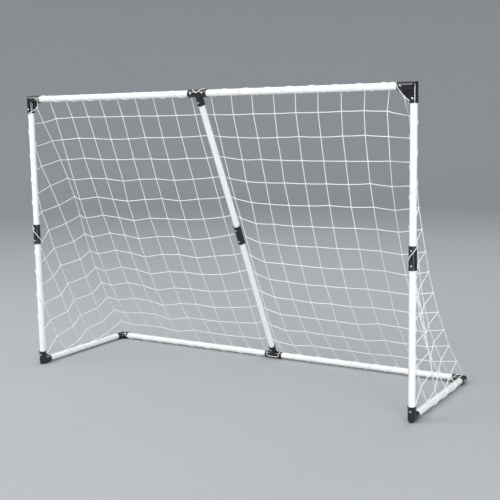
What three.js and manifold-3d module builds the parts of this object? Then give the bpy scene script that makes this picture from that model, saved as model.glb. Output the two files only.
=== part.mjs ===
// A knock-down garden goal: white plastic tubes pushed into black moulded fittings, locked by
// sprung snap buttons, with a net over the slanted back and the two sides.
// Millimetres. +X right, +Y to the back of the goal, +Z up. The mouth faces -Y.
// The origin is on the ground, in the middle of the goal's box.
import * as THREE from 'three';
import { mergeVertices } from 'three/addons/utils/BufferGeometryUtils.js';
import Module from 'manifold-3d';

const wasm = await Module();
wasm.setup();

// The whole goal, over the fittings.
const GOAL_WIDTH = 1830;
const GOAL_HEIGHT = 1220;
const GOAL_DEPTH = 610;

// Tubes.
const TUBE_RADIUS = 13;
const TUBE_WALL = 1.6;
const INSERTION = 28; // how deep a tube sits in its socket

// Fittings.
const FITTING_RADIUS = 15.4;
const COLLAR_RADIUS = 16.4; // the thicker bead round each socket's mouth
const COLLAR_LENGTH = 6;
const SOCKET_RADIUS = 13.3;
const PASSAGE_RADIUS = 10.5; // the bore that joins a fitting's sockets past their stops
const STOP_GAP = 0.3; // between a tube's end and the stop that it is pushed against
const TOP_ARM = 60; // from where the axes meet to the mouth, on a top corner
const FOOT_ARM = 42; // the same on the four corners that stand on the ground
const TEE_ARM = 43;
const TEE_BRANCH = 50;
const COUPLER_ARM = 44;
const WEB_THICKNESS = 5; // the web in the inner angle of a corner
const WEB_SETBACK = 8; // from the mouth to the web's edge

// Flat pads moulded under the fittings that stand on the ground.
const RAIL_HEIGHT = 17; // the axes of the ground tubes above the ground
const PAD_WIDTH = 14;
const PAD_LENGTH = 50;
const PAD_TOP = 3;
const PAD_EDGE = 2; // from a fitting's end to its pad's edge

// Snap buttons: a bent steel leaf in the tube, with a round button through tube and socket.
const BUTTON_FROM_MOUTH = 16;
const BUTTON_RADIUS = 4;
const BUTTON_HOLE_RADIUS = 4.6;
const BUTTON_PROUD = 2; // how far the button's crown stands out of the fitting
const LEAF_LENGTH = 42;
const LEAF_WIDTH = 7;
const LEAF_THICKNESS = 0.8;
const LEAF_OUTER = 10.2; // from the tube's axis to the leaf's outer face
const LEAF_OVERHANG = 1; // past the button, at the leaf's free end
const LEAF_BEND_RADIUS = 3.4;
const HEEL_LENGTH = 24; // the leg behind the bend, which spreads towards the far wall
const HEEL_DROP = 8;
const CROWN_DEPTH = 1.6; // the button's rounded crown, drawn as two cones
const CROWN_TIP = 0.4;
const CROWN_SHOULDER = 0.7; // of the button's radius, where the two cones meet

// Net panels.
const NET_THICKNESS = 2;
const NET_CLEARANCE = 1.2; // between a panel and the fittings beside it
const NET_BOTTOM_GAP = 10; // up the slant from the rear bar's axis, so that it stays in the goal's box

const ROUND_SIDES = 16; // facets round a tube or a fitting
const BUTTON_SIDES = 10; // and round a button or its hole
const BEND_SEGMENTS = 3; // in each arc of the leaf's bend
const OVERCUT = 1; // how far a cut runs past the surface it opens
const WELD = 1e-4; // points nearer than this are one point

// Where the axes of the frame lie. The buttons stand proud at the front only, which moves the
// frame back by half of that in the goal's box.
const sideX = GOAL_WIDTH / 2 - COLLAR_RADIUS;
const frontY = BUTTON_PROUD / 2 + COLLAR_RADIUS - GOAL_DEPTH / 2;
const rearY = frontY + GOAL_DEPTH - 2 * COLLAR_RADIUS;
const topZ = GOAL_HEIGHT - COLLAR_RADIUS;
const groundZ = RAIL_HEIGHT;

const RIGHT = new THREE.Vector3(1, 0, 0);
const LEFT = new THREE.Vector3(-1, 0, 0);
const BACK = new THREE.Vector3(0, 1, 0);
const FRONT = new THREE.Vector3(0, -1, 0);
const UP = new THREE.Vector3(0, 0, 1);
const DOWN = new THREE.Vector3(0, 0, -1);

// The slant of the brace and the back net: down it, and out of the goal at right angles to it.
const slantDown = new THREE.Vector3(0, rearY - frontY, groundZ - topZ).normalize();
const slantUp = slantDown.clone().negate();
const slantOut = new THREE.Vector3().crossVectors(slantDown, LEFT);
const slantIn = slantOut.clone().negate();

const tubePlastic = { color: 0xf3f3ee, roughness: 0.28, metalness: 0 };
const fittingPlastic = { color: 0x121214, roughness: 0.32, metalness: 0 };
const netTwine = { color: 0xf2f1ec, roughness: 0.9, metalness: 0 };
const springSteel = { color: 0xc6c9cc, roughness: 0.3, metalness: 1 };

const goal = new THREE.Group();

// A closed three.js geometry as a solid that can be joined and cut.
function solid(geometry) {
  geometry.deleteAttribute('normal');
  geometry.deleteAttribute('uv');
  const merged = mergeVertices(geometry, WELD);
  return new wasm.Manifold(new wasm.Mesh({
    numProp: 3,
    vertProperties: new Float32Array(merged.attributes.position.array),
    triVerts: new Uint32Array(merged.index.array),
  }));
}

function geometryOf(shape) {
  const mesh = shape.getMesh();
  const geometry = new THREE.BufferGeometry();
  geometry.setAttribute('position', new THREE.BufferAttribute(mesh.vertProperties, 3));
  geometry.setIndex(new THREE.BufferAttribute(mesh.triVerts, 1));
  geometry.computeVertexNormals();
  return geometry;
}

function addPiece(name, geometry, look, position = new THREE.Vector3()) {
  const mesh = new THREE.Mesh(geometry, new THREE.MeshStandardMaterial(look));
  mesh.name = name;
  mesh.position.copy(position);
  goal.add(mesh);
  return mesh;
}

// A turned solid: its profile is a list of [radius, height], with heights along a direction.
function turned(direction, profile, sides = ROUND_SIDES, from = new THREE.Vector3()) {
  const points = profile.map(([radius, height]) => new THREE.Vector2(radius, height));
  const geometry = new THREE.LatheGeometry(points, sides);
  geometry.applyQuaternion(new THREE.Quaternion().setFromUnitVectors(BACK, direction));
  geometry.translate(from.x, from.y, from.z);
  return solid(geometry);
}

// A plain rod, from one height to another.
function rod(direction, radius, start, end, sides, from) {
  return turned(direction, [[0, start], [radius, start], [radius, end], [0, end]], sides, from);
}

// The point this far along a direction.
function reach(direction, distance) {
  return direction.clone().multiplyScalar(distance);
}

// One arm of a fitting, solid, with the collar at its mouth.
function armOutside(direction, arm) {
  return turned(direction, [
    [0, 0],
    [FITTING_RADIUS, 0],
    [FITTING_RADIUS, arm - COLLAR_LENGTH],
    [COLLAR_RADIUS, arm - COLLAR_LENGTH],
    [COLLAR_RADIUS, arm],
    [0, arm],
  ]);
}

// What is cut out of one arm: the socket, and the narrower passage behind it.
function armInside(direction, arm) {
  const stop = arm - INSERTION - STOP_GAP;
  return turned(direction, [
    [0, -PASSAGE_RADIUS / 2],
    [PASSAGE_RADIUS, -PASSAGE_RADIUS / 2],
    [PASSAGE_RADIUS, stop],
    [SOCKET_RADIUS, stop],
    [SOCKET_RADIUS, arm + OVERCUT],
    [0, arm + OVERCUT],
  ]);
}

// The hole for the button of one arm.
function armHole(direction, arm, facing) {
  const from = reach(direction, arm - BUTTON_FROM_MOUTH);
  return rod(facing, BUTTON_HOLE_RADIUS, PASSAGE_RADIUS, COLLAR_RADIUS + OVERCUT, BUTTON_SIDES, from);
}

// A straight piece with a socket at each end, and its two button holes.
function straightFitting(direction, arm, facing) {
  const stop = arm - INSERTION - STOP_GAP;
  const half = [
    [FITTING_RADIUS, arm - COLLAR_LENGTH],
    [COLLAR_RADIUS, arm - COLLAR_LENGTH],
    [COLLAR_RADIUS, arm],
    [SOCKET_RADIUS, arm],
    [SOCKET_RADIUS, stop],
    [PASSAGE_RADIUS, stop],
  ];
  const otherHalf = half.map(([radius, height]) => [radius, -height]).reverse();
  return turned(direction, [...half, ...otherHalf, half[0]])
    .subtract(armHole(direction, arm, facing))
    .subtract(armHole(direction.clone().negate(), arm, facing));
}

// A flat pad under a fitting, along the arm that lies on the ground.
function footPad(direction, from, length) {
  const lengthwise = Math.abs(direction.x) > 0.5;
  const pad = new THREE.BoxGeometry(
    lengthwise ? length : PAD_WIDTH,
    lengthwise ? PAD_WIDTH : length,
    PAD_TOP,
  );
  const middle = reach(direction, from + length / 2);
  pad.translate(middle.x, middle.y, PAD_TOP / 2 - RAIL_HEIGHT);
  return solid(pad);
}

// The flat web that fills the inner angle between two arms.
function cornerWeb(first, second, arm) {
  const edge = arm - WEB_SETBACK;
  const outline = new THREE.Shape([
    new THREE.Vector2(0, 0),
    new THREE.Vector2(edge, 0),
    new THREE.Vector2(edge, FITTING_RADIUS),
    new THREE.Vector2(FITTING_RADIUS, edge),
    new THREE.Vector2(0, edge),
  ]);
  const web = new THREE.ExtrudeGeometry(outline, { depth: WEB_THICKNESS, bevelEnabled: false });
  web.translate(0, 0, -WEB_THICKNESS / 2);
  const normal = new THREE.Vector3().crossVectors(first, second);
  web.applyMatrix4(new THREE.Matrix4().makeBasis(first, second, normal));
  return solid(web);
}

// A corner: two arms that meet in a mitre, with a web between them.
// Each arm is { direction, facing }, and facing is where its button looks.
function corner(name, position, arm, first, second, padded = false) {
  const elbow = [first, second].map(({ direction }) => (
    rod(direction, FITTING_RADIUS, -FITTING_RADIUS, FITTING_RADIUS)
  ));
  let shape = elbow[0].intersect(elbow[1]);
  shape = shape.add(cornerWeb(first.direction, second.direction, arm));
  shape = shape.add(armOutside(first.direction, arm)).add(armOutside(second.direction, arm));
  if (padded) shape = shape.add(footPad(second.direction, PAD_EDGE - FITTING_RADIUS, PAD_LENGTH));
  for (const { direction, facing } of [first, second]) {
    shape = shape.subtract(armInside(direction, arm)).subtract(armHole(direction, arm, facing));
  }
  addPiece(name, geometryOf(shape), fittingPlastic, position);
}

// A coupler joins two tubes in line.
function coupler(name, position, direction, facing) {
  addPiece(name, geometryOf(straightFitting(direction, COUPLER_ARM, facing)), fittingPlastic, position);
}

// A tee: a straight run along X with a branch at its middle. It is shaped with its branch upright
// and then turned about X, so the directions given are turned back first.
function tee(name, position, branchDirection, branchFacing, runFacing, padded = false) {
  const turn = new THREE.Quaternion().setFromUnitVectors(UP, branchDirection);
  const back = turn.clone().invert();
  const upright = (direction) => direction.clone().applyQuaternion(back);
  let shape = straightFitting(RIGHT, TEE_ARM, upright(runFacing));
  const run = rod(RIGHT, SOCKET_RADIUS, -TEE_ARM, TEE_ARM);
  shape = shape.add(armOutside(UP, TEE_BRANCH).subtract(run));
  if (padded) {
    const pad = footPad(RIGHT, PAD_EDGE - TEE_ARM, 2 * (TEE_ARM - PAD_EDGE));
    shape = shape.add(solid(geometryOf(pad).applyQuaternion(back)));
  }
  shape = shape.subtract(armInside(UP, TEE_BRANCH));
  shape = shape.subtract(armHole(UP, TEE_BRANCH, upright(branchFacing)));
  addPiece(name, geometryOf(shape), fittingPlastic, position).quaternion.copy(turn);
}

// The steel leaf and its button. The button looks along +Y, and the leaf runs off along +X.
function snapButton() {
  const inner = LEAF_OUTER - LEAF_THICKNESS;
  const bendY = LEAF_OUTER - LEAF_BEND_RADIUS;
  const bendInner = LEAF_BEND_RADIUS - LEAF_THICKNESS;
  const heelY = bendY - LEAF_BEND_RADIUS;
  const outline = new THREE.Shape();
  outline.moveTo(-BUTTON_RADIUS - LEAF_OVERHANG, LEAF_OUTER);
  outline.lineTo(-BUTTON_RADIUS - LEAF_OVERHANG, inner);
  outline.lineTo(LEAF_LENGTH, inner);
  outline.absarc(LEAF_LENGTH, bendY, bendInner, Math.PI / 2, -Math.PI / 2, true);
  outline.lineTo(LEAF_LENGTH - HEEL_LENGTH, heelY + LEAF_THICKNESS - HEEL_DROP);
  outline.lineTo(LEAF_LENGTH - HEEL_LENGTH, heelY - HEEL_DROP);
  outline.lineTo(LEAF_LENGTH, heelY);
  outline.absarc(LEAF_LENGTH, bendY, LEAF_BEND_RADIUS, -Math.PI / 2, Math.PI / 2, false);
  const leaf = new THREE.ExtrudeGeometry(outline, {
    depth: LEAF_WIDTH,
    bevelEnabled: false,
    curveSegments: BEND_SEGMENTS,
  });
  leaf.translate(0, 0, -LEAF_WIDTH / 2);

  const crown = COLLAR_RADIUS + BUTTON_PROUD;
  const button = new THREE.LatheGeometry([
    new THREE.Vector2(0, inner + LEAF_THICKNESS / 2),
    new THREE.Vector2(BUTTON_RADIUS, inner + LEAF_THICKNESS / 2),
    new THREE.Vector2(BUTTON_RADIUS, crown - CROWN_DEPTH),
    new THREE.Vector2(BUTTON_RADIUS * CROWN_SHOULDER, crown - CROWN_TIP),
    new THREE.Vector2(0, crown),
  ], BUTTON_SIDES);
  return solid(leaf).add(solid(button));
}
const snapButtonGeometry = geometryOf(snapButton());

function addSnapButton(name, position, alongTube, facing) {
  const geometry = snapButtonGeometry.clone();
  const side = new THREE.Vector3().crossVectors(alongTube, facing);
  geometry.applyMatrix4(new THREE.Matrix4().makeBasis(alongTube, facing, side));
  addPiece(name, geometry, springSteel, position);
}

// A tube between two fittings, with a snap button in each end.
// Each end is { at, arm, label }: the fitting's centre, its arm's length and the button's name.
function tube(name, first, second, facing) {
  const direction = second.at.clone().sub(first.at);
  const distance = direction.length();
  direction.normalize();
  const start = first.arm - INSERTION;
  const end = distance - second.arm + INSERTION;
  const firstButton = first.arm - BUTTON_FROM_MOUTH;
  const secondButton = distance - second.arm + BUTTON_FROM_MOUTH;
  const bore = TUBE_RADIUS - TUBE_WALL;
  let shape = turned(direction, [
    [bore, start],
    [TUBE_RADIUS, start],
    [TUBE_RADIUS, end],
    [bore, end],
    [bore, start],
  ]);
  for (const place of [firstButton, secondButton]) {
    const hole = reach(direction, place);
    const depth = [bore / 2, TUBE_RADIUS + OVERCUT];
    shape = shape.subtract(rod(facing, BUTTON_HOLE_RADIUS, ...depth, BUTTON_SIDES, hole));
  }
  addPiece(name, geometryOf(shape), tubePlastic, first.at);
  const firstAt = first.at.clone().add(reach(direction, firstButton));
  const secondAt = first.at.clone().add(reach(direction, secondButton));
  const back = direction.clone().negate();
  const label = name.replace('_tube', '');
  addSnapButton(`snap_button_${label}_${first.label}`, firstAt, direction, facing);
  addSnapButton(`snap_button_${label}_${second.label}`, secondAt, back, facing);
}

// Where the middle coupler of a run sits: the tubes on its two sides are equally long.
function couplerPlace(from, fromArm, to, toArm) {
  const direction = to.clone().sub(from);
  const distance = direction.length();
  return from.clone().add(direction.normalize().multiplyScalar((distance + fromArm - toArm) / 2));
}

const topMiddle = new THREE.Vector3(0, frontY, topZ);
const rearMiddle = new THREE.Vector3(0, rearY, groundZ);

// The back net: a thin sheet in the slanted plane, just behind the brace.
function addBackNet(name) {
  const length = topMiddle.distanceTo(rearMiddle) - NET_BOTTOM_GAP;
  const offset = COLLAR_RADIUS + NET_CLEARANCE + NET_THICKNESS / 2;
  const sheet = new THREE.BoxGeometry(2 * sideX, length, NET_THICKNESS);
  sheet.applyMatrix4(new THREE.Matrix4().makeBasis(RIGHT, slantUp, slantIn));
  const middle = topMiddle.clone().add(reach(slantDown, length / 2)).add(reach(slantOut, offset));
  addPiece(name, geometryOf(solid(sheet)), netTwine, middle);
}

// A side net: a thin sheet that fills the side triangle, cut short at the foot corner's web.
function addSideNet(name, x) {
  const gap = COLLAR_RADIUS + NET_CLEARANCE;
  const webCut = FOOT_ARM - WEB_SETBACK + FITTING_RADIUS + 2 * NET_CLEARANCE;
  const slope = (rearY - frontY) / (topZ - groundZ);
  const backOffset = COLLAR_RADIUS / Math.cos(Math.atan(slope));
  const backY = (z) => frontY + (topZ - z) * slope + backOffset;
  const bottom = groundZ + gap;
  const front = frontY + gap;
  const top = topZ + (backOffset - gap) / slope;
  const outline = new THREE.Shape([
    new THREE.Vector2(frontY + webCut - gap, bottom),
    new THREE.Vector2(backY(bottom), bottom),
    new THREE.Vector2(front, top),
    new THREE.Vector2(front, groundZ + webCut - gap),
  ]);
  const sheet = new THREE.ExtrudeGeometry(outline, { depth: NET_THICKNESS, bevelEnabled: false });
  sheet.applyMatrix4(new THREE.Matrix4().makeBasis(BACK, UP, RIGHT));
  sheet.translate(-NET_THICKNESS / 2, 0, 0);
  addPiece(name, geometryOf(solid(sheet)), netTwine, new THREE.Vector3(x, 0, 0));
}

for (const [side, x, inward, outward] of [['left', -sideX, RIGHT, LEFT], ['right', sideX, LEFT, RIGHT]]) {
  const top = new THREE.Vector3(x, frontY, topZ);
  const foot = new THREE.Vector3(x, frontY, groundZ);
  const rear = new THREE.Vector3(x, rearY, groundZ);
  const middle = couplerPlace(top, TOP_ARM, foot, FOOT_ARM);

  corner(`top_corner_${side}`, top, TOP_ARM,
    { direction: inward, facing: FRONT }, { direction: DOWN, facing: FRONT });
  corner(`foot_corner_${side}`, foot, FOOT_ARM,
    { direction: UP, facing: FRONT }, { direction: BACK, facing: outward }, true);
  corner(`rear_corner_${side}`, rear, FOOT_ARM,
    { direction: inward, facing: UP }, { direction: FRONT, facing: outward }, true);
  coupler(`upright_coupler_${side}`, middle, UP, FRONT);

  tube(`crossbar_tube_${side}`,
    { at: top, arm: TOP_ARM, label: 'outer' }, { at: topMiddle, arm: TEE_ARM, label: 'inner' }, FRONT);
  tube(`upright_tube_upper_${side}`,
    { at: top, arm: TOP_ARM, label: 'top' }, { at: middle, arm: COUPLER_ARM, label: 'bottom' }, FRONT);
  tube(`upright_tube_lower_${side}`,
    { at: middle, arm: COUPLER_ARM, label: 'top' }, { at: foot, arm: FOOT_ARM, label: 'bottom' }, FRONT);
  tube(`side_tube_${side}`,
    { at: foot, arm: FOOT_ARM, label: 'front' }, { at: rear, arm: FOOT_ARM, label: 'rear' }, outward);
  tube(`rear_tube_${side}`,
    { at: rear, arm: FOOT_ARM, label: 'outer' }, { at: rearMiddle, arm: TEE_ARM, label: 'inner' }, UP);
  addSideNet(`net_side_${side}`, x);
}

tee('top_tee', topMiddle, slantDown, slantIn, FRONT);
tee('rear_tee', rearMiddle, slantUp, slantIn, UP, true);

const braceMiddle = couplerPlace(topMiddle, TEE_BRANCH, rearMiddle, TEE_BRANCH);
coupler('brace_coupler', braceMiddle, slantUp, slantIn);
tube('brace_tube_upper',
  { at: topMiddle, arm: TEE_BRANCH, label: 'top' },
  { at: braceMiddle, arm: COUPLER_ARM, label: 'bottom' }, slantIn);
tube('brace_tube_lower',
  { at: braceMiddle, arm: COUPLER_ARM, label: 'top' },
  { at: rearMiddle, arm: TEE_BRANCH, label: 'bottom' }, slantIn);

addBackNet('net_back');

export default goal;
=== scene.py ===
"""Looks of the garden goal: glossy tubes, moulded fittings, steel snap buttons and a knotted net.

Metres: +X right, +Y to the back of the goal, +Z up; the mouth faces -Y.
Each finer piece stands for the CAD node of the same name and is built from that node's box.
"""

import math

import bpy
import numpy as np
from mathutils import Matrix, Vector


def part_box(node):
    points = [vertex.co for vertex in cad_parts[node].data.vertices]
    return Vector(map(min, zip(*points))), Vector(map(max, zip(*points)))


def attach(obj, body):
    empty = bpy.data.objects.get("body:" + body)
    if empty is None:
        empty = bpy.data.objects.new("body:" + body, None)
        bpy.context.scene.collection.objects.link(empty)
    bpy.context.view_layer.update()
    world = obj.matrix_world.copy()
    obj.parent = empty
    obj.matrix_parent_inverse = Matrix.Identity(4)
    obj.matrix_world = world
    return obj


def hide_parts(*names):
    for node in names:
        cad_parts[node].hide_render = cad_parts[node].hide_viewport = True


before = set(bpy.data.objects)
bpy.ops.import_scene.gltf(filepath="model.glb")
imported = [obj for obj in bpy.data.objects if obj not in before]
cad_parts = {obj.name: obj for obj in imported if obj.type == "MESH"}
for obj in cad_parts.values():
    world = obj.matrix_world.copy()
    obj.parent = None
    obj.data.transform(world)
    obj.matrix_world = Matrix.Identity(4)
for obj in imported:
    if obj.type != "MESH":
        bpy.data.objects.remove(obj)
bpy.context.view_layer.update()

MM = 0.001

# Tubes, fittings and buttons, as in the CAD.
TUBE_RADIUS = 13 * MM
TUBE_WALL = 1.6 * MM
INSERTION = 28 * MM
STOP_GAP = 0.3 * MM
FITTING_RADIUS = 15.4 * MM
COLLAR_RADIUS = 16.4 * MM
COLLAR_LENGTH = 6 * MM
ARM_OVERLAP = 4 * MM  # how far two arms in line reach into each other
SOCKET_RADIUS = 13.3 * MM
PASSAGE_RADIUS = 10.5 * MM
WEB_THICKNESS = 5 * MM
WEB_SETBACK = 8 * MM
PAD_WIDTH = 14 * MM
PAD_TOP = 3 * MM
PAD_LENGTH = 50 * MM
PAD_EDGE = 2 * MM
TEE_BRANCH = 50 * MM
BUTTON_FROM_MOUTH = 16 * MM
BUTTON_RADIUS = 4 * MM
BUTTON_HOLE_RADIUS = 4.6 * MM
BUTTON_PROUD = 2 * MM
LEAF_OUTER = 10.2 * MM
LEAF_THICKNESS = 0.8 * MM
LEAF_WIDTH = 7 * MM
LEAF_LENGTH = 42 * MM
LEAF_BEND_RADIUS = 3.4 * MM
HEEL_LENGTH = 24 * MM
HEEL_DROP = 8 * MM

# Net.
BACK_COLUMNS = 19
BACK_ROWS = 14
SIDE_COLUMNS = 5
CORD_RADIUS = 1.7 * MM
CORD_SPACING = 9 * MM  # between the points of its curve
STRAND_TURN = 2.8 * MM  # along the twine, for one turn of its strands
KNOT_SIZE = 3.0 * MM
KNOT_THICKNESS = 0.42  # half of it, as a share of the size
KNOT_CORD_RADIUS = 1.45 * MM
LACE_RADIUS = 1.5 * MM  # the cord that winds round the tubes
LACE_LIFT = 1.35 * MM  # of its middle above the tube
LACE_SPACING = 6 * MM
WIND_STEPS = 30
RAMP = 4 * MM  # over which a cord climbs from a tube on to a fitting
COLLAR_FLAT = 1.6  # over 1, it lies level on the collar for a while
CLEAR_OF_MOUTH = 8 * MM  # from a fitting's mouth to a tie beside it
CORNER_TIE = 26 * MM  # from a foot corner's axes to where the side net is tied to its web
TOP_TIE = 36.5 * MM  # and from a top corner's

# How much longer the cords are than the straight way. The rows are shorter than the way round the frame, most
# of all at the top, so that the net cuts the corner between back and side.
TOP_ROW_SLACK = -0.034
ROW_SLACK_GAIN = 0.022  # from the top row to the ground
BACK_ROW_SPREAD = (-0.02, 0.02)
BACK_COLUMN_SLACK = (-0.028, 0.018)
SIDE_ROW_SPREAD = (-0.015, 0.02)
SIDE_COLUMN_SLACK = (-0.02, 0.015)

# How the net is relaxed.
SUB_NODES = 3  # points along a cord, between two knots
RELAX_STEPS = 320
ROUNDS_PER_STEP = 12
TIME_STEP = 1 / 280
DRIFT_KEPT = 0.96  # of each point's speed, from step to step
GRAVITY = 9.8
INWARD_PULL = 4.0  # on the net's sides, so that slack cords never bulge outwards
SIDE_DEPTH = 60 * MM  # how far in from the uprights that pull reaches
PUSH_RESISTANCE = 0.08  # of a cord, beside its resistance to being stretched
BEND_RESISTANCE = 0.06
LOWEST = 3 * MM  # height of a cord that lies on the ground

X, Y, Z = np.eye(3)


def centre(node):
    low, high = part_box(node)
    return np.array((low + high) / 2)


# The axes of the frame.
side_x = centre("upright_tube_upper_right")[0]
front_y = centre("upright_tube_upper_right")[1]
rear_y = centre("rear_tube_right")[1]
top_z = centre("crossbar_tube_right")[2]
ground_z = centre("rear_tube_right")[2]
top_middle = np.array((0, front_y, top_z))
rear_middle = np.array((0, rear_y, ground_z))
slant_length = float(np.linalg.norm(rear_middle - top_middle))
slant_down = (rear_middle - top_middle) / slant_length
slant_out = np.cross(slant_down, -X)


# ---- materials

class Nodes:
    """A material's node tree, with short calls for the nodes that are used most."""

    def __init__(self, name):
        self.material = bpy.data.materials.new(name)
        self.material.use_nodes = True
        self.tree = self.material.node_tree
        self.shader = self.tree.nodes["Principled BSDF"]

    def add(self, kind, **settings):
        node = self.tree.nodes.new(kind)
        for key, value in settings.items():
            setattr(node, key, value)
        return node

    def link(self, source, target):
        self.tree.links.new(source, target)

    def put(self, value, target):
        """Links a socket; sets anything else as the target's value."""
        if isinstance(value, bpy.types.NodeSocket):
            self.link(value, target)
        else:
            target.default_value = value

    def attribute(self, name):
        return self.add("ShaderNodeAttribute", attribute_name=name).outputs["Vector"]

    def position(self):
        return self.add("ShaderNodeNewGeometry").outputs["Position"]

    def scaled(self, vector, factors):
        node = self.add("ShaderNodeVectorMath", operation="MULTIPLY")
        self.put(vector, node.inputs[0])
        self.put(factors, node.inputs[1])
        return node.outputs["Vector"]

    def math(self, operation, a, b=0.0, c=0.0):
        node = self.add("ShaderNodeMath", operation=operation)
        for value, socket in zip((a, b, c), node.inputs):
            self.put(value, socket)
        return node.outputs[0]

    def times(self, a, b):
        return self.math("MULTIPLY", a, b)

    def plus(self, a, b):
        return self.math("ADD", a, b)

    def noise(self, vector, scale, detail=4.0, roughness=0.55, distortion=0.0):
        node = self.add("ShaderNodeTexNoise")
        self.link(vector, node.inputs["Vector"])
        settings = {"Scale": scale, "Detail": detail, "Roughness": roughness, "Distortion": distortion}
        for key, number in settings.items():
            node.inputs[key].default_value = number
        return node.outputs["Fac"]

    def spread(self, value, low, high, to_low=0.0, to_high=1.0, smooth=True):
        node = self.add("ShaderNodeMapRange", interpolation_type="SMOOTHSTEP" if smooth else "LINEAR")
        self.put(value, node.inputs["Value"])
        limits = {"From Min": low, "From Max": high, "To Min": to_low, "To Max": to_high}
        for key, number in limits.items():
            node.inputs[key].default_value = number
        return node.outputs["Result"]

    def mix(self, amount, a, b):
        node = self.add("ShaderNodeMix", data_type="RGBA")
        self.put(amount, node.inputs["Factor"])
        self.put(a, node.inputs["A"])
        self.put(b, node.inputs["B"])
        return node.outputs["Result"]

    def bump(self, height, strength, distance, before=None):
        node = self.add("ShaderNodeBump")
        node.inputs["Strength"].default_value = strength
        node.inputs["Distance"].default_value = distance
        self.put(height, node.inputs["Height"])
        if before is not None:
            self.link(before, node.inputs["Normal"])
        return node.outputs["Normal"]

    def finish(self, colour, roughness, normal=None, **settings):
        self.put(colour, self.shader.inputs["Base Color"])
        self.put(roughness, self.shader.inputs["Roughness"])
        if normal is not None:
            self.link(normal, self.shader.inputs["Normal"])
        for key, value in settings.items():
            self.put(value, self.shader.inputs[key.replace("_", " ")])
        return self.material


def tube_plastic():
    """Extruded white plastic: faint draw lines along it, slow waves, fine scuffs, a little dust low down."""
    n = Nodes("tube_white")
    local = n.attribute("local")
    place = n.position()
    lengthwise = n.scaled(local, (1.0, 1.0, 0.04))
    lines = n.noise(lengthwise, 900, 3)
    waves = n.noise(n.scaled(local, (1.0, 1.0, 0.25)), 26, 2)
    cloud = n.noise(place, 7, 4)
    scuffs = n.spread(n.noise(n.scaled(local, (1.0, 1.0, 0.16)), 420, 6, 0.7, 0.6), 0.6, 0.72)
    patches = n.spread(n.noise(place, 11, 3), 0.5, 0.68)
    worn = n.times(scuffs, patches)
    height = n.add("ShaderNodeSeparateXYZ")
    n.link(place, height.inputs[0])
    low = n.spread(height.outputs["Z"], 0.0, 0.16, 1.0, 0.0)
    dust = n.times(low, n.spread(n.noise(place, 90, 6, 0.7), 0.45, 0.7, 0.0, 0.3))
    colour = n.mix(cloud, (0.83, 0.835, 0.82, 1), (0.88, 0.882, 0.872, 1))
    colour = n.mix(n.times(worn, 0.35), colour, (0.66, 0.65, 0.62, 1))
    colour = n.mix(dust, colour, (0.6, 0.575, 0.53, 1))
    rough = n.spread(lines, 0.3, 0.7, 0.2, 0.3, False)
    rough = n.plus(rough, n.times(worn, 0.25))
    rough = n.plus(rough, n.times(dust, 0.35))
    normal = n.bump(waves, 0.12, 0.0012)
    normal = n.bump(lines, 0.16, 0.00012, normal)
    normal = n.bump(worn, 0.25, 0.00008, normal)
    return n.finish(colour, rough, normal, Coat_Weight=0.12, Coat_Roughness=0.12, Specular_IOR_Level=0.55)


def fitting_plastic():
    """Black moulded plastic: fine spark texture, soft sink marks, rubbed edges and scuffs."""
    n = Nodes("fitting_black")
    place = n.position()
    grain = n.noise(place, 2600, 2)
    sink = n.noise(place, 60, 2)
    cloud = n.noise(place, 24, 4)
    edge = n.spread(n.add("ShaderNodeNewGeometry").outputs["Pointiness"], 0.515, 0.56)
    rubbed = n.times(edge, n.spread(n.noise(place, 210, 5, 0.65), 0.42, 0.62))
    scuffs = n.spread(n.noise(n.scaled(place, (1.0, 0.3, 0.5)), 360, 5, 0.7, 1.2), 0.6, 0.7)
    scuffs = n.times(scuffs, n.spread(cloud, 0.5, 0.64))
    colour = n.mix(cloud, (0.008, 0.008, 0.009, 1), (0.015, 0.015, 0.0165, 1))
    colour = n.mix(n.times(rubbed, 0.55), colour, (0.07, 0.07, 0.073, 1))
    colour = n.mix(n.times(scuffs, 0.4), colour, (0.06, 0.06, 0.061, 1))
    rough = n.spread(cloud, 0.3, 0.7, 0.13, 0.2)
    rough = n.plus(rough, n.times(n.math("MAXIMUM", scuffs, rubbed), 0.2))
    normal = n.bump(sink, 0.15, 0.0008)
    normal = n.bump(grain, 0.07, 0.00006, normal)
    normal = n.bump(scuffs, 0.2, 0.00006, normal)
    return n.finish(colour, rough, normal, Specular_IOR_Level=0.55)


def net_twine():
    """White twine: three strands that wind round it, fibres, slightly uneven colour, and painted shade in the
    grooves between the strands.
    """
    n = Nodes("net_white")
    local = n.attribute("local")
    place = n.position()
    parts = n.add("ShaderNodeSeparateXYZ")
    n.link(local, parts.inputs[0])
    angle = n.math("ARCTAN2", parts.outputs["Y"], parts.outputs["X"])
    turn = n.times(angle, 3.0)
    turn = n.math("MULTIPLY_ADD", parts.outputs["Z"], 2 * math.pi / STRAND_TURN, turn)
    strand = n.math("ABSOLUTE", n.math("SINE", n.times(turn, 0.5)))
    fibre = n.noise(n.scaled(local, (1.0, 1.0, 0.3)), 5200, 3)
    cloud = n.noise(place, 30, 4)
    # Painted shade: the twine's colour darkens towards grey in the grooves between its strands, where shade
    # falls.
    groove_shade = n.times(n.math("SUBTRACT", 1.0, strand), 0.35)
    colour = n.mix(cloud, (0.8, 0.795, 0.775, 1), (0.88, 0.878, 0.865, 1))
    colour = n.mix(groove_shade, colour, (0.52, 0.51, 0.49, 1))
    rough = n.spread(fibre, 0.3, 0.7, 0.62, 0.86)
    normal = n.bump(strand, 0.6, 0.0005)
    normal = n.bump(fibre, 0.35, 0.00015, normal)
    return n.finish(colour, rough, normal, Sheen_Weight=0.25, Sheen_Roughness=0.5)


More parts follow.
